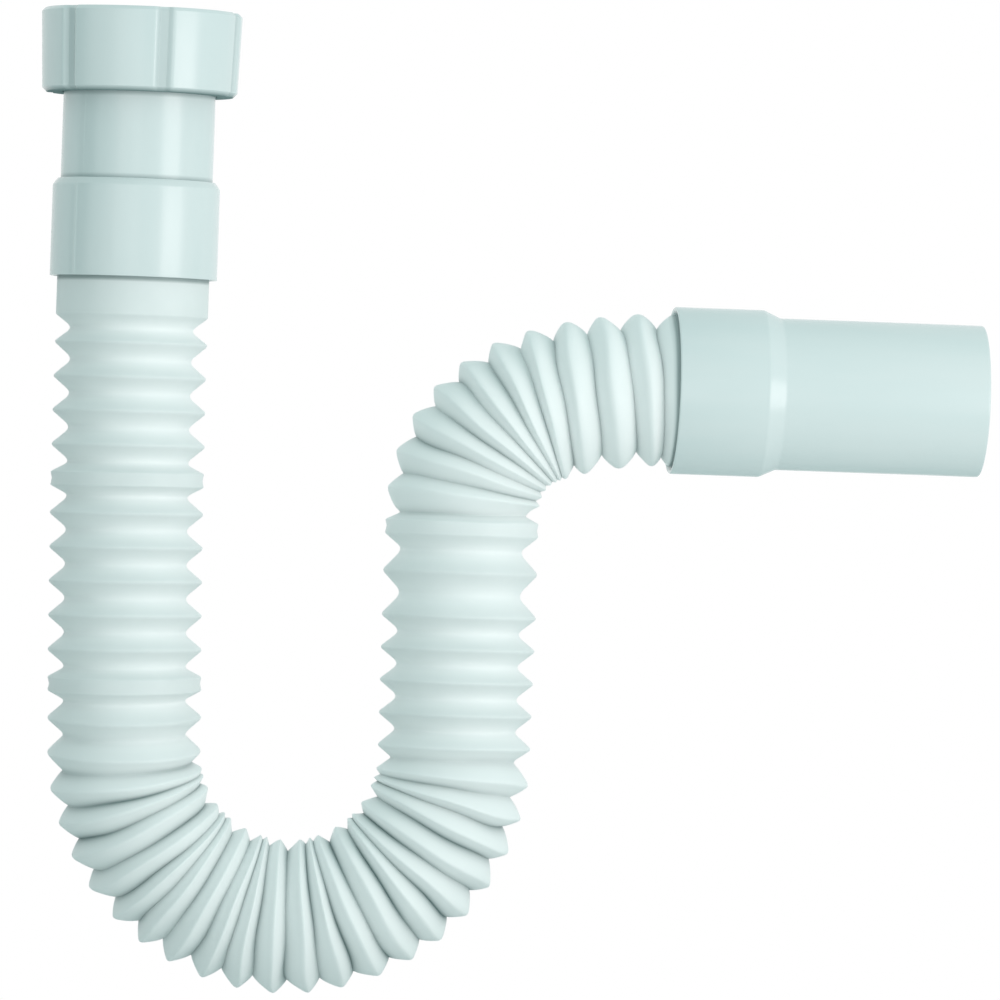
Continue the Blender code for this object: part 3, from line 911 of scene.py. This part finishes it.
def hose_half(h, name, first):
    """Model one half of the hose: a grid rolled up round the route, outside and inside."""
    angles = FULL_TURN * (np.arange(h.sides + 1) % h.sides) / h.sides
    outside = half_rows(h, first, OUTER_STEPS, angles)
    inside = [(distance, radii - h.wall, height, dark)
              for distance, radii, height, dark in half_rows(h, first, INNER_STEPS, angles)]
    rows = outside + inside[::-1] + outside[:1]
    piece, across, along = grid_piece(name, h.sides, len(rows) - 1)
    rolled = np.array([ring_points(h, row[0], row[1], angles) for row in rows])
    piece.data.vertices.foreach_set("co", rolled[along, across].ravel())
    # Painted light: crests of the straight legs darker than their valleys
    crests = np.array([row[2] * (1.0 - bend_amount(h, row[0])) for row in rows])
    # Painted shadow at the sleeves' mouths
    painted_shadows = [np.full(len(angles), shadow_at(h, row[0])) for row in rows]
    # Painted shade in the folds, or the painted shadow at the mouths, whichever is darker
    painted_shades = np.array([np.maximum(row[3], shadow) for row, shadow in zip(rows, painted_shadows)])
    hold(piece, "crest", crests[along])
    hold(piece, "painted_fold_shade", painted_shades[along, across])
    piece.data.update()
    bpy.ops.object.mode_set(mode="EDIT")
    bpy.ops.mesh.select_all(action="SELECT")
    bpy.ops.mesh.remove_doubles(threshold=SAME)
    point_outwards()
    return piece


# The operators

NUT_SIDES_PER_LOBE = 72
ROUND_SIDES = 320
WASHER_SIDES = 128
RING_SIDES = 112
RING_SECTION = 20
FLOOR_SIDES = 96

# The thread's ridge: its foot and crest as shares of the pitch and of the foot's half, how
# far it is rooted in the wall, and its steps in a turn
THREAD_FOOT = 0.42
THREAD_CREST = 0.12
THREAD_ROOTED = 0.12 * MM
THREAD_STEPS = 96

# What counts as the nut's outside, and how much of its foot's chamfer gets painted shade
OUTSIDE_WALL = 0.6 * MM
SHADED_FOOT = 0.6

# How far a seal ring is pressed flat, and the washer's bead
PRESSED_SHARE = 0.12
BEAD_HALF = 0.9 * MM
BEAD_HEIGHT = 0.12 * MM
WASHER_EDGE = 0.2 * MM


def from_groove(n, place, turn):
    """Angle from a place round the nut to its nearest groove, with the lobes turned."""
    pitch = FULL_TURN / n.lobes
    return abs((math.atan2(place.y, place.x) - turn) % pitch - pitch / 2.0)


def groove_share(n, around):
    """How deep a groove is, from 1 to 0, at an angle from its middle."""
    side = (n.groove_width - n.groove_floor) / 2.0
    return 1.0 - eased((around * n.outside - n.groove_floor / 2.0) / side)


class MakeUnionNut(bpy.types.Operator):
    """Model the lobed union nut with the thread inside it"""

    bl_idname = "sink_trap.union_nut"
    bl_label = "Union nut"

    def execute(self, context):
        n = context.scene.trap_nut
        sides = NUT_SIDES_PER_LOBE * n.lobes
        foot, top = NUT_LOW.z, NUT_HIGH.z
        rim = top - n.top_edge
        small = n.outside - n.draft
        piece = start_ring("union_nut_body", sides, n.outside, rim)
        self.press_grooves(piece, n, sides)
        bpy.ops.mesh.select_mode(type="EDGE")
        bpy.ops.mesh.select_all(action="SELECT")
        extrude_rings(((n.outside, rim), (small, foot + n.foot_edge), (small - n.foot_edge, foot)))
        pick_edges(piece, lambda place: place.z > rim - NEAR)
        extrude_rings(((n.outside, rim), (n.outside - n.top_edge, top)))
        self.add_bore(piece, n, sides, foot, top)
        point_outwards()
        soften(piece, n.edge)
        self.cut_thread(piece, n, top)
        self.mark_hollows(piece, n, foot)
        dress(piece, fitting_plastic, ["union_nut"])
        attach(piece, "nut")
        return {"FINISHED"}

    def press_grooves(self, piece, n, sides):
        """Scale the ring's points between the lobes inwards."""
        steps = int(n.groove_width / 2.0 / n.outside * sides / FULL_TURN)
        for step in range(-steps, steps + 1):
            offset = step * FULL_TURN / sides
            pick(piece, lambda place: from_groove(n, place, offset) < math.pi / sides)
            scale_about_z(1.0 - n.groove_depth * groove_share(n, abs(offset)) / n.outside)
        bpy.ops.mesh.select_all(action="SELECT")
        turn_about_z(n.lobe_turn)

    def mark_hollows(self, piece, n, foot):
        """Mark the outside between the lobes and under the foot for painted shade, which the finish
        darkens.
        """
        shares = []
        for vertex in piece.data.vertices:
            place = vertex.co
            # Painted shade between the lobes and under the foot
            groove = n.groove_shade * groove_share(n, from_groove(n, place, n.lobe_turn))
            outside = math.hypot(place.x, place.y) > n.thread_major + OUTSIDE_WALL
            under = 1.0 - eased((place.z - foot) / (SHADED_FOOT * n.foot_edge))
            shares.append(max(groove if outside else 0.0, under))
        hold(piece, "painted_shade", shares)

    def add_bore(self, piece, n, sides, foot, top):
        """Add the hole, the shoulder and the threaded bore, and close the two ends."""
        seat = foot + n.shoulder
        bore = (
            (n.hole, foot),
            (n.hole, seat),
            (n.thread_major, seat),
            (n.thread_major, top - n.lead_depth),
            (n.thread_major + n.lead, top),
        )
        bpy.ops.mesh.select_all(action="DESELECT")
        bpy.ops.mesh.primitive_circle_add(vertices=sides, radius=n.hole)
        turn_about_z(n.lobe_turn)
        bpy.ops.transform.translate(value=(0.0, 0.0, foot))
        bpy.ops.mesh.select_mode(type="EDGE")
        extrude_rings(bore)
        for end in (foot, top):
            pick_edges(piece, lambda place: abs(place.z - end) < NEAR)
            bpy.ops.mesh.bridge_edge_loops()

    def cut_thread(self, piece, n, top):
        """Wind the thread's ridge up the bore, and join it to the nut."""
        half = THREAD_FOOT * n.thread_pitch
        root = n.thread_major + THREAD_ROOTED
        first = top - n.thread_place - n.thread_turns * n.thread_pitch
        bpy.ops.object.select_all(action="DESELECT")
        bpy.ops.mesh.primitive_circle_add(vertices=4, radius=half)
        ridge = bpy.context.object
        bpy.ops.object.mode_set(mode="EDIT")
        work = bmesh.from_edit_mesh(ridge.data)
        corners = ((root, -half), (root, half), (n.thread_minor, THREAD_CREST * half),
                   (n.thread_minor, -THREAD_CREST * half))
        for vertex, (radius, height) in zip(work.verts, corners):
            vertex.co = (radius, 0.0, first + height)
        bmesh.update_edit_mesh(ridge.data)
        bpy.ops.object.mode_set(mode="OBJECT")
        winding = ridge.modifiers.new("winding", "SCREW")
        winding.axis = "Z"
        winding.screw_offset = n.thread_pitch
        winding.iterations = n.thread_turns
        winding.steps = THREAD_STEPS
        winding.render_steps = THREAD_STEPS
        winding.use_merge_vertices = False
        bpy.ops.object.modifier_apply(modifier=winding.name)
        bpy.ops.object.mode_set(mode="EDIT")
        bpy.ops.mesh.select_mode(type="EDGE")
        bpy.ops.mesh.select_all(action="DESELECT")
        bpy.ops.mesh.select_non_manifold()
        bpy.ops.mesh.edge_face_add()
        point_outwards()
        union = piece.modifiers.new("thread", "BOOLEAN")
        union.operation = "UNION"
        union.object = ridge
        bpy.context.view_layer.objects.active = piece
        bpy.ops.object.modifier_apply(modifier=union.name)
        bpy.data.objects.remove(ridge)


class MakeFlangedNeck(bpy.types.Operator):
    """Model the short pipe whose flange sits in the nut"""

    bl_idname = "sink_trap.flanged_neck"
    bl_label = "Flanged neck"

    def execute(self, context):
        p = context.scene.trap_pipe
        flange_foot = NECK_HIGH.z - p.flange
        profile = (
            (p.bore, NECK_HIGH.z),
            (NECK_HIGH.x, NECK_HIGH.z),
            (NECK_HIGH.x, flange_foot),
            (p.pipe, flange_foot),
            # These rings carry the painted shadow beside the joints
            (p.pipe, NUT_LOW.z - p.joint_dark),
            (p.pipe, NUT_LOW.z - p.joint_dark - p.joint_fade),
            (p.pipe, SLEEVE_HIGH.z + p.joint_dark + p.joint_fade),
            (p.pipe, SLEEVE_HIGH.z + p.joint_dark),
            (p.pipe, NECK_LOW.z),
            (p.bore, NECK_LOW.z),
        )
        piece = turned_piece("flanged_neck_pipe", ROUND_SIDES, profile)
        raise_seam(piece, p, p.pipe)
        soften(piece, p.edge)
        # Painted shadow: the neck is darkened beside its joints
        shaded = p.joint_dark + p.joint_fade / 2.0
        low, high = SLEEVE_HIGH.z + shaded, NUT_LOW.z - shaded
        hold(piece, "painted_shade", [0.0 if low < vertex.co.z < high else p.joint_shade
                               for vertex in piece.data.vertices])
        dress(piece, fitting_plastic, ["flanged_neck"])
        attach(piece, "inlet")
        return {"FINISHED"}


class MakeInletSleeve(bpy.types.Operator):
    """Model the sleeve that joins the neck to the hose"""

    bl_idname = "sink_trap.inlet_sleeve"
    bl_label = "Inlet sleeve"

    def execute(self, context):
        p = context.scene.trap_pipe
        top, mouth = SLEEVE_HIGH.z, SLEEVE_LOW.z
        stop_top = top - p.plug_depth
        stop_foot = stop_top - p.stop
        profile = (
            (p.socket, top),
            (p.socket + p.lip, top),
            (p.sleeve, top - p.top_bevel),
            (p.sleeve, mouth),
            (p.socket + p.lead, mouth),
            (p.socket, mouth + p.lead_depth),
            (p.socket, stop_foot),
            (p.bore, stop_foot),
            (p.bore, stop_top),
            (p.socket, stop_top),
        )
        piece = turned_piece("inlet_sleeve_shell", ROUND_SIDES, profile)
        raise_seam(piece, p, p.sleeve)
        soften(piece, p.edge)
        dress(piece, fitting_plastic, ["inlet_sleeve"])
        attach(piece, "inlet")
        return {"FINISHED"}


class MakeSeals(bpy.types.Operator):
    """Model the flat washer and the two rings that seal the hose's ends"""

    bl_idname = "sink_trap.seals"
    bl_label = "Washer and seal rings"

    def execute(self, context):
        self.make_washer(context.scene.trap_pipe)
        h = context.scene.trap_hose
        top = Vector((0.0, 0.0, SLEEVE_LOW.z + h.groove_place))
        inlet = self.make_ring("inlet_seal_o_ring", top, 0.0, 0.0)
        dress(inlet, seal_rubber, ["inlet_seal_ring"], math.radians(60.0))
        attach(inlet, "inlet")
        mouth, heading, swing, _, _ = hose_station(h, route_length(h))
        middle = mouth + h.groove_place * swung(direction(heading), swing)
        outlet = self.make_ring("outlet_seal_o_ring", middle, math.pi / 2.0 - heading, swing)
        dress(outlet, seal_rubber, ["outlet_seal_ring"], math.radians(60.0))
        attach(outlet, "outlet")
        return {"FINISHED"}

    def make_washer(self, p):
        """The flat rubber washer, with a shallow bead moulded round both faces."""
        low, high, outside = WASHER_LOW.z, WASHER_HIGH.z, WASHER_HIGH.x
        bead = (p.bore + outside) / 2.0
        half, dip = BEAD_HALF, BEAD_HEIGHT
        profile = (
            (p.bore, high - dip),
            (bead - half, high - dip),
            (bead - half / 2.0, high),
            (bead + half / 2.0, high),
            (bead + half, high - dip),
            (outside, high - dip),
            (outside, low + dip),
            (bead + half, low + dip),
            (bead + half / 2.0, low),
            (bead - half / 2.0, low),
            (bead - half, low + dip),
            (p.bore, low + dip),
        )
        washer = turned_piece("inlet_washer_disc", WASHER_SIDES, profile)
        soften(washer, WASHER_EDGE, math.radians(50.0))
        dress(washer, seal_rubber, ["inlet_washer"])
        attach(washer, "inlet")

    def make_ring(self, name, middle, tilt, swing):
        """A round ring, pressed flat where it bears on the sleeve."""
        thick = (RING_HIGH.z - RING_LOW.z) / 2.0
        bpy.ops.object.select_all(action="DESELECT")
        bpy.ops.mesh.primitive_torus_add(
            major_radius=RING_HIGH.x - thick, minor_radius=thick,
            major_segments=RING_SIDES, minor_segments=RING_SECTION)
        ring = added(name)
        flat = RING_HIGH.x - PRESSED_SHARE * thick
        bpy.ops.object.mode_set(mode="EDIT")
        pick(ring, lambda place: math.hypot(place.x, place.y) > flat)
        scale_about_z(flat / RING_HIGH.x)
        bpy.ops.object.mode_set(mode="OBJECT")
        place_piece(ring, middle, tilt, swing)
        return ring


def place_piece(piece, point, tilt, swing):
    """Turn and move a piece that was modelled about Z, and apply its place."""
    choose(piece)
    piece.rotation_euler = (0.0, tilt, swing)
    piece.location = point
    bpy.ops.object.transform_apply(location=True, rotation=True, scale=True)


class MakeHose(bpy.types.Operator):
    """Model the pleated hose in two halves that meet in a valley of the U"""

    bl_idname = "sink_trap.hose"
    bl_label = "Pleated hose"

    def execute(self, context):
        h = context.scene.trap_hose
        drop = hose_half(h, "hose_drop_leg", True)
        dress(drop, hose_plastic, ["hose"], math.radians(60.0))
        leg_start = hose_station(h, h.collar)[0]
        leg_end = hose_station(h, h.collar + h.leg)[0]
        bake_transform(drop)
        rise = hose_half(h, "hose_riser", False)
        dress(rise, hose_plastic, ["hose"], math.radians(60.0))
        stub = hose_stretches(h)[-1][0]
        stub_start = hose_station(h, route_length(h) - stub)[0]
        mouth = hose_station(h, route_length(h))[0]
        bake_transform(rise)
        return {"FINISHED"}


class MakeOutletTail(bpy.types.Operator):
    """Model the outlet sleeve and its plain tail in one piece"""

    bl_idname = "sink_trap.outlet_tail"
    bl_label = "Outlet tail"

    def execute(self, context):
        p = context.scene.trap_pipe
        h = context.scene.trap_hose
        cone_end = p.outlet_sleeve + p.taper
        end = cone_end + p.tail
        profile = (
            (p.socket, p.lead_depth),
            (p.socket + p.lead, 0.0),
            (p.sleeve, 0.0),
            (p.sleeve, p.outlet_sleeve),
            (p.pipe, cone_end),
            (p.pipe, end),
            (p.bore, end),
            (p.bore, p.outlet_socket),
            (p.socket, p.outlet_socket),
        )
        piece = turned_piece("outlet_tail_pipe", ROUND_SIDES, profile)
        soften(piece, p.edge, math.radians(8.0))
        mouth, heading, swing, _, _ = hose_station(h, route_length(h))
        place_piece(piece, mouth, math.pi / 2.0 - heading, swing)
        dress(piece, tail_plastic, ["outlet_tail"])
        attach(piece, "outlet")
        return {"FINISHED"}


class SetStage(bpy.types.Operator):
    """Set the floor, the lamps, the room's light and the camera"""

    bl_idname = "sink_trap.stage"
    bl_label = "Stage"

    def execute(self, context):
        s = context.scene.trap_stage
        middle = Vector((s.view_x, 0.0, s.view_z))
        self.lay_floor(s)
        self.add_lamp("key_lamp", s.key, s.key_size, s.lamp, middle, Vector(s.key_away))
        self.add_lamp("fill_lamp", s.fill, s.fill_size, s.lamp, middle, Vector(s.fill_away))
        self.stand_flag(s)
        self.light_room(context.scene, s)
        self.set_camera(context.scene, s, middle)
        context.scene.view_settings.view_transform = "Standard"
        return {"FINISHED"}

    def lay_floor(self, s):
        """A round pale floor below the trap, white to the camera and still shaded."""
        bpy.ops.object.select_all(action="DESELECT")
        height = CAD_BOX[0][2] - s.floor_drop
        bpy.ops.mesh.primitive_circle_add(vertices=FLOOR_SIDES, radius=s.floor_radius,
                                          fill_type="NGON", location=(s.view_x, 0.0, height))
        floor = added("floor")
        look, tree, shader = new_look("pale_floor")
        shader.inputs["Base Color"].default_value = (0.80, 0.80, 0.80, 1.0)
        shader.inputs["Roughness"].default_value = 0.9
        shader.inputs["Emission Color"].default_value = (1.0, 1.0, 1.0, 1.0)
        rays = tree.nodes.new("ShaderNodeLightPath")
        lift = tree.nodes.new("ShaderNodeMath")
        lift.operation = "MULTIPLY"
        lift.inputs[1].default_value = s.floor_glow
        tree.links.new(rays.outputs["Is Camera Ray"], lift.inputs[0])
        tree.links.new(lift.outputs[0], shader.inputs["Emission Strength"])
        floor.data.materials.append(look)

    def add_lamp(self, name, power, size, colouring, target, away):
        """One large soft lamp, aimed at the trap."""
        aim = (-away).to_track_quat("-Z", "Y").to_euler()
        bpy.ops.object.light_add(type="AREA", location=target + away, rotation=aim)
        lamp = added(name)
        lamp.data.shape = "RECTANGLE"
        lamp.data.size, lamp.data.size_y = size
        lamp.data.energy = power
        lamp.data.color = colouring

    def stand_flag(self, s):
        """A dark board at the left, which the camera does not see, to draw the pale edges."""
        bpy.ops.object.select_all(action="DESELECT")
        bpy.ops.mesh.primitive_plane_add(size=1.0, location=(*s.flag_place, s.view_z),
                                         rotation=(0.0, math.pi / 2.0, 0.0))
        board = added("flag")
        board.scale = (*s.flag_size, 1.0)
        board.visible_camera = False
        look, _, shader = new_look("flag_cloth")
        shader.inputs["Base Color"].default_value = (*s.flag, 1.0)
        shader.inputs["Roughness"].default_value = 1.0
        board.data.materials.append(look)

    def light_room(self, scene, s):
        """A plain room, white where the camera or a reflection sees it."""
        world = bpy.data.worlds.new("plain_room")
        world.use_nodes = True
        scene.world = world
        tree = world.node_tree
        plain = tree.nodes["Background"]
        plain.inputs["Color"].default_value = (*s.room, 1.0)
        plain.inputs["Strength"].default_value = s.ambient
        white = tree.nodes.new("ShaderNodeBackground")
        white.inputs["Color"].default_value = (1.0, 1.0, 1.0, 1.0)
        white.inputs["Strength"].default_value = 1.0
        rays = tree.nodes.new("ShaderNodeLightPath")
        seen = rays.outputs["Is Camera Ray"]
        for name in ("Is Glossy Ray", "Is Transmission Ray"):
            both = tree.nodes.new("ShaderNodeMath")
            both.operation = "MAXIMUM"
            tree.links.new(seen, both.inputs[0])
            tree.links.new(rays.outputs[name], both.inputs[1])
            seen = both.outputs[0]
        mix = tree.nodes.new("ShaderNodeMixShader")
        tree.links.new(seen, mix.inputs["Fac"])
        tree.links.new(plain.outputs["Background"], mix.inputs[1])
        tree.links.new(white.outputs["Background"], mix.inputs[2])
        tree.links.new(mix.outputs["Shader"], tree.nodes["World Output"].inputs["Surface"])

    def set_camera(self, scene, s, middle):
        """The photograph's view: level, square on, and slightly rolled."""
        place = middle + Vector((0.0, -s.distance, 0.0))
        bpy.ops.object.camera_add(location=place, rotation=(math.pi / 2.0, s.roll, 0.0))
        camera = added("main_camera")
        camera.data.sensor_width = 36.0
        camera.data.lens = camera.data.sensor_width * s.distance / s.view_width
        camera.data.clip_end = 20.0
        scene.camera = camera


GROUPS = {
    "trap_nut": NutSizes,
    "trap_pipe": PipeSizes,
    "trap_hose": HoseSizes,
    "trap_finishes": Finishes,
    "trap_stage": StageSettings,
}
OPERATORS = (
    MakeUnionNut,
    MakeFlangedNeck,
    MakeInletSleeve,
    MakeSeals,
    MakeHose,
    MakeOutletTail,
    SetStage,
)


class SinkTrapPanel(bpy.types.Panel):
    """The pieces of the trap, with their sizes and colours"""

    bl_idname = "VIEW3D_PT_sink_trap"
    bl_label = "Sink trap"
    bl_space_type = "VIEW_3D"
    bl_region_type = "UI"
    bl_category = "Sink trap"

    def draw(self, context):
        for operator in OPERATORS:
            self.layout.operator(operator.bl_idname)
        for pointer, group in GROUPS.items():
            box = self.layout.box()
            box.label(text=group.__doc__)
            for name in group.__annotations__:
                box.prop(getattr(context.scene, pointer), name)


def register():
    """Register the settings, the operators and the panel."""
    for pointer, group in GROUPS.items():
        bpy.utils.register_class(group)
        setattr(bpy.types.Scene, pointer, PointerProperty(type=group))
    for operator in OPERATORS:
        bpy.utils.register_class(operator)
    bpy.utils.register_class(SinkTrapPanel)


def unregister():
    """Take them all out again."""
    bpy.utils.unregister_class(SinkTrapPanel)
    for operator in reversed(OPERATORS):
        bpy.utils.unregister_class(operator)
    for pointer, group in reversed(GROUPS.items()):
        delattr(bpy.types.Scene, pointer)
        bpy.utils.unregister_class(group)


def main():
    """Register the add-on, and make every piece and the stage."""
    register()
    bpy.ops.sink_trap.union_nut()
    bpy.ops.sink_trap.flanged_neck()
    bpy.ops.sink_trap.inlet_sleeve()
    bpy.ops.sink_trap.seals()
    bpy.ops.sink_trap.hose()
    bpy.ops.sink_trap.outlet_tail()
    bpy.ops.sink_trap.stage()


if __name__ == "__main__":
    main()
